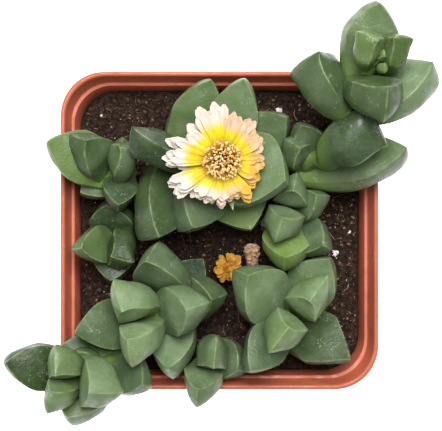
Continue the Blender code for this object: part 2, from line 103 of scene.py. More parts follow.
# Where along a leaf its edges, keel and ridge lines start to change, and over what share
EDGE_CHANGE = (0.25, 0.5)
KEEL_CHANGE = (0.5, 0.45)
RIDGE_CHANGE = (0.3, 0.5)
LEAF_WAVE = 0.35
LEAF_WAVE_SIZE = 9

# Each stem is one shoot or more. A shoot is where it stands in the soil, then its pairs from below upwards.
# A pair is its place on the shoot, then for each leaf its apex, width, depth and the compass angle that its
# flat face looks to. Some leaves also say how far the face turns from the sky that way, and a few how
# pointed the leaf is.
STEMS = {
    "stem_north_east": (((27.5, 19), (
        ((28.5, 21.5, 87), (59.3, 26.5, 102, 17.5, 12, 165, 1.5), (26.4, 26, 98, 11.5, 8, 330)),
        ((31, 23.5, 91), (26.4, 33.5, 96, 12, 8, 300)),
        ((38, 23, 94.5), (52.5, 26.5, 106.5, 19, 15, 355, 1.8)),
        ((43.5, 41.5, 102), (31, 55.4, 113, 19, 13, 35, 1.5), (66, 52.3, 112, 19, 12, 138)),
        ((46, 49, 107), (49, 69.5, 117, 18, 11, 270), (50.8, 43.8, 123, 18, 12, 78)),
        ((49, 52.5, 112), (48, 57, 124, 11.5, 8, 340, 1, 1.1), (52.3, 58, 123, 11.5, 8, 180, 1.5, 1.1)),
        ((50, 51.5, 113), (50.2, 52.8, 120, 3.6, 3, 270), (50.4, 51.2, 119.5, 3.6, 3, 90)),
    )),),
    "stem_flower": (((1, 22), (
        ((1, 22, 79), (10.5, 0.5, 87, 22, 9, 110), (21.5, 36.5, 95, 20, 9, 215)),
        ((0.5, 23.5, 86), (7.7, 48.3, 99, 17, 10, 250), (-8.3, 1, 101, 18, 13, 45, 2)),
        ((-0.8, 24.2, 89.4), (-27.5, 32.8, 106, 15, 9.5, 80, 1.6), (20.6, 16, 105, 26, 9, 150)),
    )), ((-13, 25), (
        ((-12, 25, 81), (-19, -1.8, 100, 18, 14, 35, 1.5), (-2.8, 48.7, 93, 18, 9, 262)),
    ))),
    "stem_west": (((-31.5, 21.5), (
        ((-31.5, 21, 81), (-45.5, 12.5, 88, 12, 7, 40)),
        ((-32.5, 21, 84), (-32.4, 8.5, 95, 12, 7, 75), (-32, 26, 90, 10, 7, 270)),
        ((-33.5, 19.5, 86), (-55, 28.5, 98, 18, 9, 345)),
        ((-36, 19.5, 87), (-42, 28, 98.5, 14, 10, 345), (-32.3, 25.8, 97, 12, 9, 165)),
    )),),
    "stem_west_low": (((-35, -3), (
        ((-35, -3, 78), (-37.5, 8, 86, 15.5, 8, 255), (-36, -16.5, 84, 14, 8, 90)),
        ((-34.5, -3.5, 79), (-44, -5.5, 92, 13, 7, 10), (-35.2, -8, 90, 14, 9, 190)),
    )),),
    "stem_centre": (((-17.5, -23.5), (
        ((-16.5, -23.5, 80), (-2.8, -22.5, 93, 17, 11, 195), (-5.5, -9.5, 84, 14, 7, 225)),
        ((-15, -26.5, 82), (-16.5, -44, 97.5, 15, 11, 100)),
        ((-16.5, -25, 84), (-23.3, -10, 103, 18, 11, 240)),
        ((-21, -27.5, 88), (-10.7, -25, 107, 17, 11, 196), (-46, -32.5, 102, 17, 6.5, 20)),
        ((-22.5, -28, 91), (-30, -25.5, 110, 13, 12, 286, 1.8), (-28.5, -33.5, 110, 13, 11, 106)),
    )),),
    "stem_south_west": (((-23.5, -39), (
        ((-36, -43, 90), (-24.5, -48.5, 105, 14.5, 7, 150), (-53, -39.5, 95, 17, 8, 0)),
        ((-41, -46, 94), (-48, -59, 104, 17, 9, 90), (-47.5, -39.5, 95.5, 10, 6, 280)),
        ((-45.5, -46, 97.5), (-40.5, -50, 115, 16, 12, 183), (-67, -41.6, 107, 15, 12, 350, 1.1)),
        ((-46.5, -46.5, 100), (-50.5, -45, 115, 10.5, 10, 262), (-51.8, -49.5, 114, 10, 9, 82)),
    )),),
    "stem_south": (((-2, -39), (
        ((-2, -40.5, 82), (5.6, -45.5, 90, 14, 8, 160)),
        ((-3.5, -42.5, 84), (-2, -44, 100, 10, 11, 270), (-7, -50.2, 99, 13, 9, 90)),
    )),),
    "stem_south_east": (((24, -25), (
        ((24.5, -27, 79), (35.5, -9.5, 89, 18, 9, 225)),
        ((23, -29, 83), (9.5, -14.5, 99, 20, 12, 333), (42, -41.3, 95, 19, 9, 135, 1, 1.1)),
        ((23, -28, 85), (10, -45, 98, 15, 9, 45, 1.5)),
        ((24, -27.5, 88), (28, -22.5, 107, 13, 12, 233), (22, -30, 107, 13, 12, 53)),
    )),),
    "stem_east": (((24.5, 1), (
        ((24, 1.5, 79), (33.3, -4.5, 93, 14, 8, 150)),
        ((23.5, 3.5, 80), (21, -8.5, 94, 17, 9, 90)),
        ((23.5, 5.5, 81), (31.2, 11.5, 92, 11, 8, 180), (17, 1.5, 88, 9, 6, 0)),
        ((23, 7, 82), (23.7, 12.3, 94.5, 12, 8, 257), (20.5, 4.5, 97, 13, 10, 77)),
    )),),
}

# How light and how yellow each of those leaves is, in the same order: by stem, shoot, pair and leaf
LEAF_TONES = {
    "stem_north_east": (
        (((0.5, 0.1), (0.25, 0.1)), ((0.2, 0.1),), ((0.15, 0.0),), ((0.2, 0.1), (0.8, 0.0)),
         ((0.5, 0.2), (0.12, 0.12)), ((0.35, 0.5), (0.0, 0.35)), ((0.5, 0.8), (0.5, 0.8))),
    ),
    "stem_flower": (
        (((0.2, 0.9), (0.4, 0.1)), ((0.6, 0.2), (0.5, 0.0)), ((0.1, 0.0), (0.7, 0.1))),
        (((0.15, 0.1), (0.4, 0.3)),),
    ),
    "stem_west": (
        (((0.3, 0.0),), ((0.15, 0.0), (0.3, 0.0)), ((0.3, 0.6),), ((0.15, 0.1), (0.3, 0.1))),
    ),
    "stem_west_low": (
        (((0.1, 0.0), (0.15, 0.0)), ((0.2, 0.3), (0.0, 0.1))),
    ),
    "stem_centre": (
        (((0.3, 0.0), (0.0, 0.0)), ((0.8, 0.0),), ((0.4, 0.0),), ((0.8, 0.0), (0.25, 0.1)),
         ((0.9, 0.3), (1.0, 0.25))),
    ),
    "stem_south_west": (
        (((0.4, 0.0), (0.3, 0.0)), ((0.6, 0.0), (0.3, 0.1)), ((0.75, 0.1), (0.0, 0.1)),
         ((0.45, 0.4), (0.5, 0.3))),
    ),
    "stem_south": (
        (((0.35, 0.0),), ((0.5, 0.1), (0.5, 0.1))),
    ),
    "stem_south_east": (
        (((0.6, 0.1),), ((0.7, 0.1), (0.1, 0.1)), ((0.45, 0.0),), ((0.7, 0.4), (0.7, 0.4))),
    ),
    "stem_east": (
        (((0.35, 0.0),), ((0.3, 1.0),), ((0.45, 0.1), (0.3, 0.0)), ((0.45, 0.1), (0.65, 0.1))),
    ),
}

# Flower
FLOWER = Vector((1, 22, 104))
CALYX_PATH = ((0, 24.5, 90), (0.5, 23, 95), (1, 22, 100), (1, 22, 103.7))
CALYX_RADII = (2.0, 2.2, 4.2, 5.2)
SEPALS = ((-78, 16), (24, 15), (52, 15), (150, 11), (215, 11))
SEPAL_DROP = 1.8
SEPAL_WIDTH = 4
SEPAL_DEPTH = 2.4
SEPAL_BACK = 0.3
DISC_RADIUS = 5.4
DISC_THICKNESS = 1.2
PETAL_ROOT = 3.6
PETAL_WIDTH = 3.0
PETAL_THICKNESS = 0.25
PETAL_DROOP = 0.08
UNDER_SLOPE = 0.08
FIRST_SLOPE = 0.1
LAYER_SLOPE = 0.09
LAYER_SHORTENING = 0.09
CUPPING = 0.1
UNDER_WIDTH = 5.5
UNDER_REACH = 0.72
PETAL_LAYERS = 3
PETAL_STEPS = 9
LAYER_RISE = 0.5
# Clumps of petals: angle, spread, count, reach, then how golden and how rosy they are
PETAL_CLUMPS = (
    (103, 30, 5, 19, 0.0, 0.2), (66, 36, 5, 16.5, 0.15, 0.9), (30, 34, 4, 15, 0.35, 0.9),
    (0, 26, 3, 13.5, 0.8, 0.3), (-28, 22, 3, 13.5, 1.0, 0.1), (-54, 8, 1, 16, 1.0, 0.0),
    (-72, 20, 3, 13.5, 0.4, 0.9), (-100, 24, 4, 15.5, 0.05, 0.5), (-128, 18, 3, 15.5, 0.0, 0.2),
    (-148, 20, 4, 20, 0.0, 0.1), (176, 16, 3, 19.5, 0.0, 0.0), (158, 12, 2, 19.5, 0.0, 0.0),
    (140, 14, 3, 16, 0.05, 0.1),
)
STAMEN_COUNT = 170
STAMEN_LIFT = 0.9
STAMEN_DISC = 3.6
STAMEN_HEIGHT = 4.4
STAMEN_FLARE = 1.8
STAMEN_DOME = 0.25

# Withered bloom and dry stalk
BLOOM_X, BLOOM_Y = 3.2, -12.6
BLOOM_HEIGHT = 76
BLOOM_TOP = 78
BLOOM_PETALS = 22
BLOOM_RADII = (1.3, 1.3, 2.4, 1.2)
DRY_SINK = 6
STALK_PATH = ((11, -12, 65.5), (11, -12, 75), (10.8, -10, 79), (10.8, -5.5, 81.5))
STALK_RADII = (1.5, 1.6, 2.0, 2.5)

# Colours, in linear red, green and blue
LEAF_DARK = (0.012, 0.026, 0.007)
LEAF_LIGHT = (0.15, 0.21, 0.105)
LEAF_YOUNG = (0.13, 0.2, 0.045)
LEAF_WAX = (0.2, 0.265, 0.165)
LEAF_MOTTLE = (0.06, 0.13, 0.035)
LEAF_ROOT = (0.12, 0.2, 0.035)
LEAF_SPECK = (0.36, 0.42, 0.28)
LEAF_SCUFF = (0.38, 0.4, 0.34)
# Pale colour along the ridges: partly the leaf's own paler ridges, partly a painted highlight
LEAF_RIDGE_PALE_AND_HIGHLIGHT = (0.32, 0.41, 0.17)
BARK_DARK = (0.09, 0.05, 0.025)
BARK_LIGHT = (0.22, 0.15, 0.08)
POT_DARK = (0.355, 0.078, 0.036)
POT_LIGHT = (0.42, 0.102, 0.05)
POT_DUST = (0.55, 0.3, 0.22)
# Lighter colour for the pot's inner walls: painted light where the rim shades them
POT_INSIDE_PAINTED_LIGHT = (0.56, 0.14, 0.075)
POT_STAIN = (0.16, 0.05, 0.03)
POT_GRIT = (0.05, 0.03, 0.02)
PEAT_PALE = (0.36, 0.22, 0.135)
PETAL_WHITE = (0.6, 0.55, 0.49)
PETAL_ROSY = (0.56, 0.38, 0.26)
PETAL_GOLD = (0.58, 0.31, 0.02)
PETAL_DEEP_YELLOW = (0.6, 0.41, 0.0)
PETAL_YELLOW = (0.66, 0.54, 0.004)
PETAL_BROWN = (0.4, 0.17, 0.0)
PETAL_VEIN = (0.36, 0.28, 0.18)
THREAD_DARK = (0.3, 0.09, 0.004)
THREAD_LIGHT = (0.7, 0.38, 0.04)
ANTHER_DARK = (0.72, 0.42, 0.12)
ANTHER_LIGHT = (0.95, 0.78, 0.42)
# Dark colour of the disc under the stamens: painted shade for the hollow among them
STAMEN_BED_PAINTED_SHADE = (0.1, 0.035, 0.004)
WITHERED_DARK = (0.2, 0.07, 0.008)
WITHERED_LIGHT = (0.55, 0.28, 0.03)
WITHERED_TIP = (0.6, 0.3, 0.05)
STRAW_DARK = (0.26, 0.13, 0.06)
STRAW_LIGHT = (0.62, 0.42, 0.27)
# Dark and pale colour of each loose part of the soil
PEAT_BED = ((0.01, 0.006, 0.004), (0.046, 0.027, 0.018))
PEAT_CRUMBS = ((0.013, 0.007, 0.005), (0.068, 0.041, 0.027))
PERLITE = ((0.4, 0.33, 0.27), (0.85, 0.83, 0.8))
FIBRES = ((0.14, 0.08, 0.045), (0.5, 0.38, 0.24))

# Camera: straight above the pot's middle, as far as its lens needs for this frame
IMAGE_WIDTH = 442
CAMERA_HEIGHT = 535
MM_PER_PIXEL = 0.330
SENSOR = 36
NADIR_LEFT = 1.5
NADIR_BELOW = 15

# Floor and light: lamps by place in metres, size and power
FLOOR_REACH = 1500
FLOOR_DROP = 0.2
FLOOR_GLOW = 0.9
WORLD_LIGHT = 0.34
KEY_LAMP = ((0.06, 0.36, 1.0), 0.6, 17)
FILL_LAMP = ((-0.8, -0.3, 0.9), 1.0, 3)
LAMP_AIM = (0, 0, 0.09)


class Shape:
    """Vertices and faces in millimetres, with named values at each vertex."""

    def __init__(self, *names):
        self.points = []
        self.faces = []
        self.values = {name: [] for name in names}

    def add(self, point, **values):
        self.points.append(Vector(point))
        for name, row in self.values.items():
            row.append(values.get(name, 0.0))
        return len(self.points) - 1

    def bridge(self, rings):
        for lower, upper in zip(rings, rings[1:]):
            for i in range(len(lower)):
                j = (i + 1) % len(lower)
                self.faces.append((lower[i], lower[j], upper[j], upper[i]))

    def cap(self, ring, point):
        for i in range(len(ring)):
            self.faces.append((ring[i], ring[(i + 1) % len(ring)], point))

    def build(self, name, material, sharp=60):
        """Make the object, shaded smooth but for edges sharper than the given angle."""
        mesh = bpy.data.meshes.new(name)
        mesh.from_pydata([point * MM for point in self.points], [], self.faces)
        for key, row in self.values.items():
            mesh.attributes.new(key, "FLOAT", "POINT").data.foreach_set("value", row)
        mesh.materials.append(material)
        mesh.shade_smooth()
        mesh.set_sharp_from_angle(angle=math.radians(sharp))
        mesh.validate()
        mesh.update()
        thing = bpy.data.objects.new(name, mesh)
        bpy.context.scene.collection.objects.link(thing)
        return thing


def settle(piece, slot, *nodes):
    """The piece rides with the pot and stands for the nodes; the slot is not used."""
    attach(piece, "root")
    if nodes:
        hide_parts(*nodes)


def level(angle):
    """The level direction at a compass angle in degrees."""
    return Vector((math.cos(math.radians(angle)), math.sin(math.radians(angle)), 0))


def ease(value):
    value = min(max(value, 0.0), 1.0)
    return value * value * (3 - 2 * value)


def change(t, span):
    """How far a change has gone at t, from where it starts and the share it takes."""
    start, share = span
    return ease((t - start) / share)


def smooth_path(points, steps):
    """A smooth curve through the points, with this many steps between each two."""
    path = []
    for i in range(len(points) - 1):
        before = points[max(i - 1, 0)]
        start, end = points[i], points[i + 1]
        after = points[min(i + 2, len(points) - 1)]
        for step in range(steps):
            t = step / steps
            slope = end - before
            bend = 2 * before - 5 * start + 4 * end - after
            twist = 3 * start - before - 3 * end + after
            path.append((2 * start + slope * t + bend * t ** 2 + twist * t ** 3) / 2)
    path.append(points[-1])
    return path


def add_tube(shape, path, radii, sides, rough=0.0, **values):
    """A closed tube along a path, roughened by noise."""
    rings = []
    across = Vector((1, 0.01, 0))
    for i, point in enumerate(path):
        ahead = (path[min(i + 1, len(path) - 1)] - path[max(i - 1, 0)]).normalized()
        across = (across - ahead * across.dot(ahead)).normalized()
        other = ahead.cross(across)
        ring = []
        for step in range(sides):
            spoke = across * math.cos(math.tau * step / sides) + other * math.sin(math.tau * step / sides)
            place = point + spoke * radii[i]
            ring.append(shape.add(place + spoke * rough * noise.noise(place), **values))
        rings.append(ring)
    shape.bridge(rings)
    shape.faces.append(tuple(reversed(rings[0])))
    shape.faces.append(tuple(rings[-1]))


def add_lump(shape, place, size, draw, flat=0.8, **values):
    """A small irregular grain with six corners."""
    turn = draw.uniform(0, 90)
    corners = []
    for angle in (0, 90, 180, 270):
        corners.append(place + level(turn + angle + draw.uniform(-25, 25)) * size * draw.uniform(0.7, 1.2))
    top = place + Vector((draw.uniform(-0.3, 0.3), draw.uniform(-0.3, 0.3), flat)) * size
    low = place - Vector((0, 0, flat)) * size
    ring = [shape.add(corner, **values) for corner in corners]
    shape.cap(ring, shape.add(top, **values))
    shape.cap(ring[::-1], shape.add(low, **values))


# Materials: each is a Principled shader fed by noise and by the values on its mesh
class Paint:
    """A material under construction: each call adds a node and gives back its output."""

    def __init__(self, name, **constants):
        self.material = bpy.data.materials.new(name)
        self.material.use_nodes = True
        self.tree = self.material.node_tree
        self.shader = self.tree.nodes["Principled BSDF"]
        for socket, value in constants.items():
            self.shader.inputs[socket.replace("_", " ").title().replace("Ior", "IOR")].default_value = value
        self.place = self.tree.nodes.new("ShaderNodeTexCoord").outputs["Object"]

    def feed(self, socket, value):
        if isinstance(value, bpy.types.NodeSocket):
            self.tree.links.new(value, socket)
        elif isinstance(value, tuple):
            socket.default_value = (*value, 1)
        else:
            socket.default_value = value

    def node(self, kind, inputs=(), **settings):
        made = self.tree.nodes.new("ShaderNode" + kind)
        for key, value in settings.items():
            setattr(made, key, value)
        for key, value in inputs:
            self.feed(made.inputs[key], value)
        return made

    def value(self, name):
        return self.node("Attribute", attribute_name=name).outputs["Fac"]

    def noise(self, size, low=0.0, high=1.0, detail=3.0, stretch=None):
        """Noise with grains of this size in millimetres, between two levels of its range."""
        place = self.place
        if stretch:
            place = self.node("Mapping", ((0, place),)).outputs[0]
            self.tree.nodes[-1].inputs["Scale"].default_value = stretch
        made = self.node("TexNoise", (("Vector", place), ("Scale", 1000 / size), ("Detail", detail)))
        return self.span(made.outputs["Fac"], low, high)

    def dots(self, size, reach):
        """Round dots, one for each cell of this size, out to a share of the cell."""
        made = self.node("TexVoronoi", (("Vector", self.place), ("Scale", 1000 / size)))
        return self.span(made.outputs["Distance"], reach, reach * 0.4)

    def span(self, value, low, high):
        made = self.node("MapRange", (("Value", value), ("From Min", low), ("From Max", high)))
        made.interpolation_type = "SMOOTHSTEP"
        return made.outputs["Result"]

    def maths(self, operation, first, second):
        return self.node("Math", ((0, first), (1, second)), operation=operation, use_clamp=True).outputs[0]

    def mix(self, share, first, second):
        made = self.node("Mix", data_type="RGBA")
        self.feed(made.inputs["Factor"], share)
        self.feed(made.inputs[6], first)
        self.feed(made.inputs[7], second)
        return made.outputs[2]

    def finish(self, colour, roughness=None, height=None, lift=0.1):
        """Give the shader its colour, roughness and a bump whose full height is in millimetres."""
        self.feed(self.shader.inputs["Base Color"], colour)
        if roughness is not None:
            self.feed(self.shader.inputs["Roughness"], roughness)
        if height is not None:
            bump = self.node("Bump", (("Height", height), ("Distance", lift * MM), ("Strength", 1.0)))
            self.tree.links.new(bump.outputs["Normal"], self.shader.inputs["Normal"])
        return self.material


def paint_leaf():
    """Satin skin: blue-green with a waxy bloom, pale ridge lines that are partly the leaf's own colour and
    partly a painted highlight, small pale dots, and a woody stem.
    """
    paint = Paint("leaf_skin", specular_ior_level=0.35, subsurface_weight=0.06)
    paint.shader.inputs["Subsurface Radius"].default_value = (0.5, 1.0, 0.25)
    paint.shader.inputs["Subsurface Scale"].default_value = MM
    colour = paint.mix(paint.value("tone"), LEAF_DARK, LEAF_LIGHT)
    colour = paint.mix(paint.value("young"), colour, LEAF_YOUNG)
    bloom = paint.noise(6, 0.4, 0.75, 4)
    waxy = paint.maths("MULTIPLY", bloom, paint.span(paint.value("tone"), -0.3, 1.6))
    colour = paint.mix(waxy, colour, LEAF_WAX)
    mottle = paint.noise(1.6, 0.45, 0.75, 3)
    colour = paint.mix(paint.maths("MULTIPLY", mottle, 0.35), colour, LEAF_MOTTLE)
    root = paint.span(paint.value("along"), 0.4, 0.1)
    colour = paint.mix(paint.maths("MULTIPLY", root, 0.6), colour, LEAF_ROOT)
    speck = paint.maths("MULTIPLY", paint.dots(1.3, 0.22), paint.noise(5, 0.5, 0.65))
    colour = paint.mix(paint.maths("MULTIPLY", speck, 0.5), colour, LEAF_SPECK)
    scuff = paint.maths("MULTIPLY", paint.noise(7, 0.6, 0.72, 5), paint.noise(0.7, 0.45, 0.7, 2))
    colour = paint.mix(paint.maths("MULTIPLY", scuff, 0.6), colour, LEAF_SCUFF)
    # Ridge lines: pale colour along each ridge, partly the leaf's own colour and partly a painted highlight
    # where the ridges catch the light
    ridge = paint.maths("MULTIPLY", paint.value("ridge"), paint.span(paint.noise(2.2), 0.2, 0.7))
    colour = paint.mix(paint.maths("MULTIPLY", ridge, 0.42), colour, LEAF_RIDGE_PALE_AND_HIGHLIGHT)
    bark = paint.mix(paint.noise(1.2, 0.35, 0.7), BARK_DARK, BARK_LIGHT)
    colour = paint.mix(paint.value("bark"), colour, bark)
    rough = paint.span(paint.noise(4, 0.3, 0.8), -1.2, 2.2)
    return paint.finish(colour, rough, paint.noise(0.9, 0.3, 0.7, 2), 0.05)


def paint_pot():
    """Moulded plastic: terracotta colour, faint flow marks, dust and fine scratches; inside, soil stains
    and grit, and a lighter colour on the inner walls that is painted light.
    """
    paint = Paint("terracotta_plastic", specular_ior_level=0.45)
    colour = paint.mix(paint.noise(30, 0.3, 0.7, 3), POT_DARK, POT_LIGHT)
    dust = paint.maths("MULTIPLY", paint.noise(9, 0.5, 0.8, 6), paint.noise(0.8, 0.4, 0.7))
    colour = paint.mix(paint.maths("MULTIPLY", dust, 0.45), colour, POT_DUST)
    # Painted light: the inner walls are mixed towards a lighter colour so they look lit where the rim and
    # collar shade them
    colour = paint.mix(paint.maths("MULTIPLY", paint.value("inside"), 0.6), colour, POT_INSIDE_PAINTED_LIGHT)
    stain = paint.maths("MULTIPLY", paint.value("inside"), paint.noise(5, 0.45, 0.75, 5))
    colour = paint.mix(paint.maths("MULTIPLY", stain, 0.35), colour, POT_STAIN)
    grain = paint.maths("MULTIPLY", paint.dots(1.1, 0.14), paint.value("inside"))
    colour = paint.mix(paint.maths("MULTIPLY", grain, 0.5), colour, POT_GRIT)
    rough = paint.span(paint.noise(3, 0.3, 0.8, 4), -1.1, 2.0)
    scratch = paint.noise(0.5, 0.4, 0.7, 2)
    return paint.finish(colour, rough, scratch, 0.02)


def paint_soil(name, dark, pale, size):
    paint = Paint(name, specular_ior_level=0.15)
    colour = paint.mix(paint.noise(size, 0.35, 0.7, 5), dark, pale)
    colour = paint.mix(paint.value("tone"), colour, PEAT_PALE)
    return paint.finish(colour, paint.span(paint.noise(2), -4.0, 1.4), paint.noise(0.35, 0.2, 0.8, 4), 0.25)


def paint_grain(name, dark, pale, rough):
    """Matt, lightly pitted grains and fibres."""
    paint = Paint(name, specular_ior_level=0.2, roughness=rough)
    colour = paint.mix(paint.value("tone"), dark, pale)
    colour = paint.mix(paint.maths("MULTIPLY", paint.noise(0.5, 0.4, 0.7), 0.35), colour, dark)
    return paint.finish(colour, None, paint.noise(0.3, 0.2, 0.8, 2), 0.08)


def paint_petal():
    """Silky petals: deep yellow at the root, white or rosy or golden towards the end, finely lined."""
    paint = Paint("petal_silk", specular_ior_level=0.25, roughness=0.55, subsurface_weight=0.15)
    paint.shader.inputs["Subsurface Radius"].default_value = (1.0, 0.8, 0.4)
    paint.shader.inputs["Subsurface Scale"].default_value = MM
    tip = paint.mix(paint.value("rosy"), PETAL_WHITE, PETAL_ROSY)
    tip = paint.mix(paint.value("gold"), tip, PETAL_GOLD)
    yellow = paint.mix(paint.value("tone"), PETAL_DEEP_YELLOW, PETAL_YELLOW)
    blend = paint.maths("ADD", paint.value("along"), paint.maths("MULTIPLY", paint.noise(3), 0.15))
    colour = paint.mix(paint.span(blend, 0.58, 0.9), yellow, tip)
    colour = paint.mix(paint.maths("MULTIPLY", paint.span(paint.value("along"), 0.45, 0.08), 0.85), colour,
                       PETAL_BROWN)
    vein = paint.maths("MULTIPLY", paint.span(paint.value("vein"), 0.55, 0.9), 0.2)
    colour = paint.mix(vein, colour, PETAL_VEIN)
    return paint.finish(colour, None, paint.value("vein"), 0.12)


def paint_stamen():
    paint = Paint("stamen_cream", specular_ior_level=0.2, roughness=0.7)
    thread = paint.mix(paint.value("tone"), THREAD_DARK, THREAD_LIGHT)
    head = paint.mix(paint.value("tone"), ANTHER_DARK, ANTHER_LIGHT)
    colour = paint.mix(paint.value("head"), thread, head)
    # Painted shade: the low disc under the stamens, marked deep, is coloured dark for the shade among them
    colour = paint.mix(paint.value("deep"), colour, STAMEN_BED_PAINTED_SHADE)
    return paint.finish(colour, None, paint.noise(0.25, 0.2, 0.8, 2), 0.05)


def paint_withered():
    paint = Paint("withered_petal", specular_ior_level=0.15, roughness=0.85)
    colour = paint.mix(paint.noise(1.4, 0.3, 0.7, 4), WITHERED_DARK, WITHERED_LIGHT)
    colour = paint.mix(paint.maths("MULTIPLY", paint.value("along"), 0.5), colour, WITHERED_TIP)
    return paint.finish(colour, None, paint.noise(0.5, 0.2, 0.8, 3), 0.2)


def paint_straw():
    paint = Paint("dry_straw", specular_ior_level=0.2, roughness=0.8)
    streak = paint.noise(1.0, 0.3, 0.7, 4, stretch=(1, 1, 0.25))
    colour = paint.mix(streak, STRAW_DARK, STRAW_LIGHT)
    return paint.finish(colour, None, streak, 0.3)


def paint_floor():
    paint = Paint("studio_floor", specular_ior_level=0.1, roughness=0.8, emission_strength=FLOOR_GLOW)
    paint.shader.inputs["Emission Color"].default_value = (1, 1, 1, 1)
    return paint.finish(paint.mix(paint.noise(60, 0.2, 0.8), (0.93, 0.93, 0.93), (0.95, 0.95, 0.95)))


# Pot
def corner_for(half):
    return RIM_CORNER - (RIM_HALF - half) * CORNER_TAPER


def inner_half(height):
    base = BASE_HALF - WALL
    return base + (SOIL_LINE_HALF - base) * (height - FLOOR) / (SOIL_TOP - FLOOR)


def rounded_square(half, corner, height):
    points = []
    for quarter in range(4):
        middle = math.radians(45 + 90 * quarter)
        centre = Vector((math.copysign(half - corner, math.cos(middle)),
                         math.copysign(half - corner, math.sin(middle)), height))
        for step in range(CORNER_STEPS + 1):
            points.append(centre + corner * level(90 * (quarter + step / CORNER_STEPS)))
    return points


def arc(centre_half, centre_height, radius, start, end, steps):
    """Profile points round a small bend: half width and height, by angle from outwards."""
    points = []
    for step in range(steps + 1):
        angle = math.radians(start + (end - start) * step / steps)
        points.append((centre_half + radius * math.cos(angle), centre_height + radius * math.sin(angle)))
    return points


def make_pot(material):
    collar_foot = POT_HEIGHT - COLLAR_HEIGHT
    shelf = POT_HEIGHT - SHELF_DROP
    profile = [(BASE_HALF - BASE_EDGE - 2, 0.0)]
    profile += arc(BASE_HALF - BASE_EDGE, BASE_EDGE, BASE_EDGE, -90, -8, 5)
    taper = (WALL_TOP_HALF - BASE_HALF) / collar_foot
    profile += [(WALL_TOP_HALF - taper * (collar_foot - WALL_BEND), WALL_BEND)]
    profile += [(WALL_TOP_HALF, collar_foot - BEAD)]
    profile += [(COLLAR_FOOT_HALF - 0.5, collar_foot - 0.25), (COLLAR_FOOT_HALF, collar_foot + 0.3)]
    profile += [(RIM_HALF - BEAD * 0.5, POT_HEIGHT - BEAD * 3.2)]
    profile += arc(RIM_HALF - BEAD, POT_HEIGHT - BEAD, BEAD, -40, 150, 8)
    profile += [(RIM_HALF - BEAD * 2.1, POT_HEIGHT - BEAD * 1.6)]
    profile += [(SHELF_HALF + 0.25, shelf + 0.8), (SHELF_HALF, shelf + 0.2)]
    profile += [(SHELF_HALF - SHELF_WIDTH, shelf)]
    profile += [(SHELF_HALF - SHELF_WIDTH - 0.15, shelf - 0.3), (inner_half(SOIL_TOP), SOIL_TOP)]
    profile += [(inner_half(FLOOR) + 0.5, FLOOR + 1.5), (inner_half(FLOOR) - 1.5, FLOOR)]
    shape = Shape("inside")
    rings = []
    rim_at = profile.index(max(profile, key=lambda row: row[1]))
    for i, (half, height) in enumerate(profile):
        # inside marks the inner walls, which take soil stains, grit and a lighter painted-light colour
        inside = 1.0 if i > rim_at + RIM_ROWS else 0.0
        square = rounded_square(half, corner_for(half), height)
        rings.append([shape.add(point, inside=inside) for point in square])
    shape.bridge(rings)
    shape.faces.append(tuple(reversed(rings[0])))
    shape.faces.append(tuple(rings[-1]))
    pot = shape.build("pot_shell", material, 40)
    for side_x, side_y in ((1, 1), (-1, 1), (-1, -1), (1, -1)):
        cut_drain(pot, side_x * DRAIN_OFFSET, side_y * DRAIN_OFFSET)
    settle(pot, "pot", "pot")


def cut_drain(pot, x, y):
    """Cut one round drain hole through the floor."""
    bar = Shape()
    rings = []
    for height in (-FLOOR, 2 * FLOOR):
        centre = Vector((x, y, height))
        rings.append([bar.add(centre + level(angle) * DRAIN_RADIUS) for angle in range(0, 360, 15)])
    bar.bridge(rings)
    bar.faces.append(tuple(reversed(rings[0])))
    bar.faces.append(tuple(rings[1]))
    cutter = bar.build("drain_cutter", pot.data.materials[0])
    hole = pot.modifiers.new("Drain", "BOOLEAN")
    hole.operation = "DIFFERENCE"
    hole.object = cutter
    with bpy.context.temp_override(object=pot, active_object=pot):
        bpy.ops.object.modifier_apply(modifier=hole.name)
    bpy.data.objects.remove(cutter, do_unlink=True)


# Soil
def edge_reach(half, corner, angle):
    """How far a rounded square's edge lies from its middle at a compass angle."""
    x, y = abs(math.cos(math.radians(angle))), abs(math.sin(math.radians(angle)))
    straight = half / max(x, y)
    if min(x, y) * straight <= half - corner:
        return straight
    inner = half - corner
    along = inner * (x + y)
    return along + math.sqrt(along * along - 2 * inner * inner + corner * corner)


def soil_height(x, y):
    away = math.hypot(x - HOLLOW_X, y - HOLLOW_Y) / HOLLOW_REACH
    rough = SOIL_ROUGH * noise.noise(Vector((x, y, 0)) / SOIL_GRAIN)
    return SOIL_TOP + rough - HOLLOW_DEPTH * math.exp(-away * away)


def soil_detail(x, y):
    """Small crumbs and pits on the surface."""
    place = Vector((x, y, 5))
    return 0.35 * noise.noise(place / 2.2) + 0.3 * noise.noise(place / 0.9)


def make_soil(material):
    shape = Shape("tone")
    rings = []
    edge_height = SOIL_TOP - SOIL_EDGE_DROP
    angles = [360 * i / SOIL_SPOKES for i in range(SOIL_SPOKES)]
    for height in (FLOOR + TOUCH_GAP, edge_height):
        half = inner_half(height) - TOUCH_GAP
        ring = []
        for angle in angles:
            place = level(angle) * edge_reach(half, corner_for(half), angle)
            ring.append(shape.add((place.x, place.y, height)))
        rings.append(ring)
    for circle in range(SOIL_CIRCLES, 0, -1):
        share = circle / (SOIL_CIRCLES + 0.5)
        ring = []
        for angle in angles:
            place = level(angle) * edge_reach(half, corner_for(half), angle) * share
            height = soil_height(place.x, place.y) + soil_detail(place.x, place.y)
            ring.append(shape.add((place.x, place.y, height)))
        rings.append(ring)
    shape.bridge(rings)
    shape.faces.append(tuple(reversed(rings[0])))
    shape.cap(rings[-1], shape.add((0, 0, soil_height(0, 0))))
    settle(shape.build("soil_body", material), "peat", "soil")


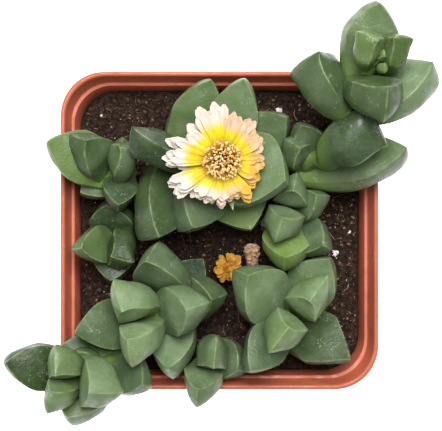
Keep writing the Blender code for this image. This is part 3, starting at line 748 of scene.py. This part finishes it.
def on_soil(draw, margin=1.5):
    """A drawn place on the soil, inside the pot."""
    half = inner_half(SOIL_TOP) - margin
    while True:
        x, y = draw.uniform(-half, half), draw.uniform(-half, half)
        angle = math.degrees(math.atan2(y, x))
        if math.hypot(x, y) < edge_reach(half, corner_for(half), angle):
            return Vector((x, y, soil_height(x, y) + soil_detail(x, y)))


def make_crumbs(material, draw):
    shape = Shape("tone")
    for _ in range(CRUMB_COUNT):
        size = CRUMB_SIZE + CRUMB_SPREAD * draw.random() ** 3
        tone = draw.random() ** 5
        add_lump(shape, on_soil(draw) + Vector((0, 0, size * 0.3)), size, draw, 0.8, tone=tone)
    settle(shape.build("soil_crumbs", material, 20), "peat")


def make_perlite(material, draw):
    """Pale grains: a few large ones where they lie in the pot, and many small ones."""
    shape = Shape("tone")
    for x, y, size in PERLITE_SPOTS:
        for _ in range(PERLITE_LUMPS):
            shift = Vector((draw.uniform(-0.5, 0.5), draw.uniform(-0.5, 0.5), draw.uniform(0, 0.4))) * size
            place = Vector((x, y, soil_height(x, y) + size * 0.3)) + shift
            add_lump(shape, place, size * draw.uniform(0.45, 0.7), draw, tone=1.0)
    for _ in range(PERLITE_COUNT):
        size = PERLITE_SIZE + PERLITE_SPREAD * draw.random() ** 2
        add_lump(shape, on_soil(draw) + Vector((0, 0, 0.15)), size, draw, tone=draw.uniform(0.2, 1))
    settle(shape.build("perlite", material, 20), "peat")


def make_fibres(material, draw):
    """Thin bits of root and straw lying loose on the peat."""
    shape = Shape("tone")
    for _ in range(FIBRE_COUNT):
        start = on_soil(draw, 4)
        heading = draw.uniform(0, 360)
        length = FIBRE_LENGTH + FIBRE_SPREAD * draw.random() ** 2
        path = []
        spot = Vector((start.x, start.y, 0))
        for step in range(5):
            lift = 0.15 + 0.25 * math.sin(math.pi * step / 4)
            path.append(Vector((spot.x, spot.y, soil_height(spot.x, spot.y) + lift)))
            heading += draw.uniform(-FIBRE_TURN, FIBRE_TURN)
            spot += level(heading) * length / 4
        radius = draw.uniform(0.05, 0.11)
        add_tube(shape, path, [radius * 0.6, radius, radius, radius, radius * 0.5], 4, tone=draw.random())
    settle(shape.build("soil_fibres", material), "straw")


# Leaves
def width_share(t, power):
    if t < LEAF_WIDEST:
        return 1 - BASE_NARROWING * (1 - t / LEAF_WIDEST) ** 2
    return 1 - ((t - LEAF_WIDEST) / (1 - LEAF_WIDEST)) ** power


def depth_share(t):
    if t < LEAF_DEEPEST:
        return 1 - BASE_THINNING * (1 - t / LEAF_DEEPEST) ** 2
    return 1 - ((t - LEAF_DEEPEST) / (1 - LEAF_DEEPEST)) ** TIP_DEPTH_POWER


def round_off(x, y, half, keel, share):
    """Move a point of a leaf's section part of the way to the oval round that section."""
    high = half * FACE_BULGE
    middle = (high - keel) / 2
    reach = math.hypot(x / half / OVAL_WIDTH, (y - middle) / (high - middle))
    scale = 1 - share + share / reach
    return x * scale, middle + (y - middle) * scale


def leaf_section(half, keel, edge_round, keel_round):
    """Points round a leaf, with how close each is to a ridge: the flat face, then the two flanks."""
    points = []
    for s in SIDE_SHARES:
        points.append((half * (1 - 2 * s), half * FACE_BULGE * 4 * s * (1 - s), s, 2 * half))
    flank = []
    edge = math.hypot(half, keel)
    for s in SIDE_SHARES + (1.0,):
        swell = FLANK_BULGE * 4 * s * (1 - s)
        flank.append((half * (1 - s) + keel * swell, -keel * s - half * swell, s, edge))
    points += [(-x, y, s, size) for x, y, s, size in flank[:-1]]
    points += flank[:0:-1]
    section = []
    for x, y, s, size in points:
        away = min(s, 1 - s) * size
        share = edge_round + (keel_round - edge_round) * min(1, max(0, -y / keel))
        section.append((*round_off(x, y, half, keel, share), math.exp(-(away / RIDGE_REACH) ** 2)))
    return section


def add_leaf(shape, base, apex, width, depth, facing, back, tone, young,
             lean=1, power=TIP_WIDTH_POWER, plump=0.0):
    """A thick three-sided leaf; its flat face looks to the facing angle and up, its point bends back."""
    look = level(facing) * lean + Vector((0, 0, 1))
    along = (apex - base).normalized()
    face = (look - along * look.dot(along)).normalized()
    straight = apex + face * back
    along = (straight - base).normalized()
    face = (look - along * look.dot(along)).normalized()
    side = along.cross(face)
    foot = base - along * CLASP
    length = (straight - foot).length
    rings = []
    for step in range(LEAF_STEPS):
        t = math.sin(math.pi / 2 * step / LEAF_STEPS)
        past_widest = (t - LEAF_WIDEST) / (1 - LEAF_WIDEST)
        drop = back * ease(past_widest) + LEAF_BOW * length * 4 * t * (1 - t)
        centre = foot + along * length * t - face * drop
        keel = depth * depth_share(t)
        edge_round = EDGE_ROUND * (1 - change(t, EDGE_CHANGE)) + plump
        keel_round = KEEL_ROUND + (KEEL_ROUND_TIP - KEEL_ROUND) * change(t, KEEL_CHANGE)
        fade = change(t, RIDGE_CHANGE)
        ring = []
        for x, y, ridge in leaf_section(width / 2 * width_share(t, power), keel, edge_round, keel_round):
            spoke = side * x + face * (y + keel * 0.3)
            place = centre + side * x + face * y
            wave = LEAF_WAVE * noise.noise(place / LEAF_WAVE_SIZE) * ease((1 - t) * 4)
            place += spoke.normalized() * wave
            ring.append(shape.add(place, ridge=ridge * fade, along=t, tone=tone, young=young))
        rings.append(ring)
    shape.bridge(rings)
    shape.faces.append(tuple(reversed(rings[0])))
    shape.cap(rings[-1], shape.add(apex, ridge=1.0, along=1.0, tone=tone, young=young))


def add_sepals(shape):
    """The green cup under the flower and its narrow sepals."""
    path = smooth_path([Vector(point) for point in CALYX_PATH], 4)
    radii = [radius.x for radius in smooth_path([Vector((radius, 0, 0)) for radius in CALYX_RADII], 4)]
    add_tube(shape, path, radii, 24, 0.3, along=0.5, tone=0.5, young=0.5)
    root = FLOWER - Vector((0, 0, SEPAL_DROP))
    for angle, length in SEPALS:
        apex = root + level(angle) * length - Vector((0, 0, SEPAL_BACK))
        add_leaf(shape, root, apex, SEPAL_WIDTH, SEPAL_DEPTH, angle + 180, SEPAL_BACK, 0.4, 0.8)


def add_shoot(shape, foot, pairs, tones, plump):
    """A shoot that stands in the soil and carries its leaves in pairs."""
    places = [Vector(place) for place, *_ in pairs]
    ground = Vector((foot[0], foot[1], SOIL_TOP))
    path = [ground - Vector((0, 0, STEM_SINK))]
    path += smooth_path([ground + Vector((0, 0, STEM_RISE))] + places, 6)
    woody = [point for point in path if point.z < BARK_TOP]
    green = path[len(woody) - 1:]
    add_tube(shape, woody, [STEM_RADIUS] * len(woody), STEM_SIDES, 0.6, bark=1.0)
    if len(green) > 1:
        add_tube(shape, green, [STEM_RADIUS] * len(green), STEM_SIDES, 0.3, young=0.2, tone=0.2)
    for i, (base, (_, *leaves)) in enumerate(zip(places, pairs)):
        apexes = [Vector(leaf[:3]) for leaf in leaves]
        half_gap = (apexes[0] - apexes[-1]).length / 2
        closed = len(leaves) == 2 and half_gap < CLOSED_GAP
        for j, (apex, (_, _, _, width, depth, facing, *form)) in enumerate(zip(apexes, leaves)):
            back = half_gap * CLOSED_BACK if closed else TIP_BACK * depth
            tone, young = tones[i][j]
            add_leaf(shape, base, apex, width, depth, facing, back, tone, young, *form, plump=plump)


def make_stem(name, material):
    shape = Shape("ridge", "along", "tone", "young", "bark")
    plump = PLUMP_ROUND if name == PLUMP_STEM else 0.0
    for (foot, pairs), tones in zip(STEMS[name], LEAF_TONES[name]):
        add_shoot(shape, foot, pairs, tones, plump)
    if name == "stem_flower":
        add_sepals(shape)
    settle(shape.build(name + "_leaves", material, 70), "leaf", name)


# Flower
def petal_width_share(t):
    """Narrow at the root, widest near the end, round at the tip."""
    swell = 0.5 + 0.5 * ease(t / 0.75)
    return swell * math.sqrt(max(0.0, 1 - max(0.0, (t - 0.82) / 0.18) ** 2)) if t < 1 else 0.0


def add_petal(shape, root, angle, slope, length, width, droop, draw, thickness=PETAL_THICKNESS, **values):
    """A thin petal, hollow along its middle, with a slight twist and a wavy end."""
    along = level(angle)
    across = level(angle + 90)
    twist = draw.uniform(-0.35, 0.35)
    sway = draw.uniform(-0.12, 0.12) * length
    wave = draw.uniform(0, math.tau)
    columns = (-1, -0.55, 0, 0.55, 1)
    rings = []
    for step in range(PETAL_STEPS + 1):
        t = step / PETAL_STEPS
        half = max(width / 2 * petal_width_share(min(t, 0.995)), 0.12)
        centre = root + along * length * t + across * sway * t * t
        centre.z += length * (slope * t - droop * t * t) + 0.12 * math.sin(wave + 7 * t)
        upper, lower = [], []
        for column in columns:
            cup = CUPPING * width * (column * column - 0.5) + twist * column * half * t
            place = centre + across * half * column + Vector((0, 0, cup))
            vein = abs(math.sin(column * 3.3))
            upper.append(shape.add(place + Vector((0, 0, thickness)), along=t, vein=vein, **values))
            lower.append(shape.add(place, along=t, vein=vein, **values))
        rings.append(upper[::-1] + lower)
    shape.bridge(rings)
    shape.faces.append(tuple(reversed(rings[0])))
    shape.faces.append(tuple(rings[-1]))


def make_petals(material, draw):
    shape = Shape("along", "tone", "gold", "rosy", "vein")
    add_tube(shape, [FLOWER, FLOWER + Vector((0, 0, DISC_THICKNESS))], [DISC_RADIUS, DISC_RADIUS], 24)
    for angle, spread, count, reach, gold, rosy in PETAL_CLUMPS:
        for i in range(count):
            turn = angle + spread * ((i + 0.5) / count - 0.5)
            root = FLOWER + level(turn) * PETAL_ROOT + Vector((0, 0, 0.2))
            length = (reach - PETAL_ROOT) * UNDER_REACH
            add_petal(shape, root, turn, UNDER_SLOPE, length, UNDER_WIDTH, PETAL_DROOP, draw,
                      tone=draw.random(), gold=gold * 0.5, rosy=0.0)
        for layer in range(PETAL_LAYERS):
            for i in range(count):
                share = (i + 0.5 + 0.33 * layer) / (count + 0.33)
                turn = angle + spread * (share - 0.5) + draw.uniform(-3, 3)
                length = (reach - PETAL_ROOT) * draw.uniform(0.86, 1) * (1 - LAYER_SHORTENING * layer)
                root = FLOWER + level(turn) * PETAL_ROOT + Vector((0, 0, 0.3 + LAYER_RISE * layer))
                slope = FIRST_SLOPE + LAYER_SLOPE * layer + draw.uniform(-0.03, 0.05)
                width = PETAL_WIDTH * draw.uniform(0.8, 1.15)
                add_petal(shape, root, turn, slope, length, width, PETAL_DROOP, draw, tone=draw.random(),
                          gold=min(1.0, gold * draw.uniform(0.7, 1.2)), rosy=rosy * draw.uniform(0.5, 1.0))
    settle(shape.build("petals_open", material, 80), "petal", "petals")


def make_stamens(material, draw):
    shape = Shape("tone", "head", "deep")
    low = FLOWER + Vector((0, 0, DISC_THICKNESS + STAMEN_LIFT + TOUCH_GAP))
    # The low disc under the stamens, marked deep so it takes the painted shade colour
    add_tube(shape, [low, low + Vector((0, 0, 1))], [STAMEN_DISC, STAMEN_DISC], 24, deep=1.0)
    golden_turn = 180 * (3 - math.sqrt(5))
    for i in range(STAMEN_COUNT):
        share = math.sqrt((i + 0.5) / STAMEN_COUNT) * 0.95
        out = level(i * golden_turn + draw.uniform(-12, 12)) * STAMEN_DISC * share
        height = STAMEN_HEIGHT * draw.uniform(0.7, 1.05) * (1 - STAMEN_DOME * share * share)
        foot = low + out + Vector((0, 0, 0.8))
        top = low + out * STAMEN_FLARE + Vector((draw.uniform(-0.3, 0.3), draw.uniform(-0.3, 0.3), height))
        tone = draw.random()
        middle = foot.lerp(top, 0.55) + Vector((0, 0, 0.25))
        add_tube(shape, [foot, middle, top], [0.13, 0.11, 0.1], 4, tone=tone)
        add_lump(shape, top, draw.uniform(0.42, 0.62), draw, 1.3, tone=tone, head=1.0)
    settle(shape.build("stamens_tuft", material, 45), "stamen", "stamens")


def make_old_bloom(material, draw):
    shape = Shape("along", "vein")
    heights = (SOIL_TOP - DRY_SINK, SOIL_TOP, BLOOM_HEIGHT, BLOOM_TOP)
    path = smooth_path([Vector((BLOOM_X, BLOOM_Y, height)) for height in heights], 4)
    radii = [radius.x for radius in smooth_path([Vector((r, 0, 0)) for r in BLOOM_RADII], 4)]
    add_tube(shape, path, radii, 14, 0.7)
    for i in range(BLOOM_PETALS):
        angle = 360 * i / BLOOM_PETALS + draw.uniform(-9, 9)
        root = Vector((BLOOM_X, BLOOM_Y, BLOOM_HEIGHT)) + level(angle) * 0.8
        root.z += draw.uniform(-0.5, 1.2)
        slope = draw.uniform(0.2, 1.1)
        add_petal(shape, root, angle, slope, draw.uniform(3.2, 4.8), draw.uniform(1.4, 2.6),
                  draw.uniform(0.2, 0.9), draw)
    settle(shape.build("old_bloom_dry", material, 80), "withered", "old_bloom")


def make_dry_stalk(material):
    shape = Shape()
    path = smooth_path([Vector(point) for point in STALK_PATH], 6)
    radii = [radius.x for radius in smooth_path([Vector((r, 0, 0)) for r in STALK_RADII], 6)]
    add_tube(shape, path, radii, 20, 0.9)
    settle(shape.build("dry_stalk_stump", material, 50), "straw", "dry_stalk")


# Studio
def make_floor(material):
    shape = Shape()
    reach = FLOOR_REACH
    corners = ((-reach, -reach), (reach, -reach), (reach, reach), (-reach, reach))
    shape.faces.append(tuple(shape.add((x, y, -FLOOR_DROP)) for x, y in corners))
    shape.build("studio_floor", material)


def add_light(name, place, size, power):
    """A square soft light that shines at the middle of the plant."""
    lamp = bpy.data.lights.new(name, "AREA")
    lamp.size = size
    lamp.energy = power
    thing = bpy.data.objects.new(name, lamp)
    thing.location = place
    thing.rotation_euler = (Vector(LAMP_AIM) - Vector(place)).to_track_quat("-Z", "Y").to_euler()
    bpy.context.scene.collection.objects.link(thing)


def make_studio():
    world = bpy.data.worlds.new("studio")
    world.use_nodes = True
    world.node_tree.nodes["Background"].inputs["Color"].default_value = (1, 1, 1, 1)
    world.node_tree.nodes["Background"].inputs["Strength"].default_value = WORLD_LIGHT
    bpy.context.scene.world = world
    bpy.context.scene.view_settings.view_transform = "Standard"
    add_light("key", *KEY_LAMP)
    add_light("fill", *FILL_LAMP)


def make_camera():
    lens = bpy.data.cameras.new("camera")
    lens.sensor_width = SENSOR
    lens.lens = SENSOR * (CAMERA_HEIGHT - POT_HEIGHT) / (IMAGE_WIDTH * MM_PER_PIXEL)
    lens.shift_x = NADIR_LEFT / IMAGE_WIDTH
    lens.shift_y = NADIR_BELOW / IMAGE_WIDTH
    lens.clip_start = 0.01
    camera = bpy.data.objects.new("camera", lens)
    camera.location = (0, 0, CAMERA_HEIGHT * MM)
    bpy.context.scene.collection.objects.link(camera)
    bpy.context.scene.camera = camera


def main():
    draw = random.Random(11)
    make_camera()
    make_studio()
    make_floor(paint_floor())
    make_pot(paint_pot())
    make_soil(paint_soil("peat_bed", *PEAT_BED, 1.2))
    make_crumbs(paint_soil("peat_crumbs", *PEAT_CRUMBS, 0.8), draw)
    make_perlite(paint_grain("perlite_white", *PERLITE, 0.8), draw)
    make_fibres(paint_grain("straw_bits", *FIBRES, 0.8), draw)
    leaf = paint_leaf()
    for name in STEMS:
        make_stem(name, leaf)
    make_petals(paint_petal(), draw)
    make_stamens(paint_stamen(), draw)
    make_old_bloom(paint_withered(), draw)
    make_dry_stalk(paint_straw())


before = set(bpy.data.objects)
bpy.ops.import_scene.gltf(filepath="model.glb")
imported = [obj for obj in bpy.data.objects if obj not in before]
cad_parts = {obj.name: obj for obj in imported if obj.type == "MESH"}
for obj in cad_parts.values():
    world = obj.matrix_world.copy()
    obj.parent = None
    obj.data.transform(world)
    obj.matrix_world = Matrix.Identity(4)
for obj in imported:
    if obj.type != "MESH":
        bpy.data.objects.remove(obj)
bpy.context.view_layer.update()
main()
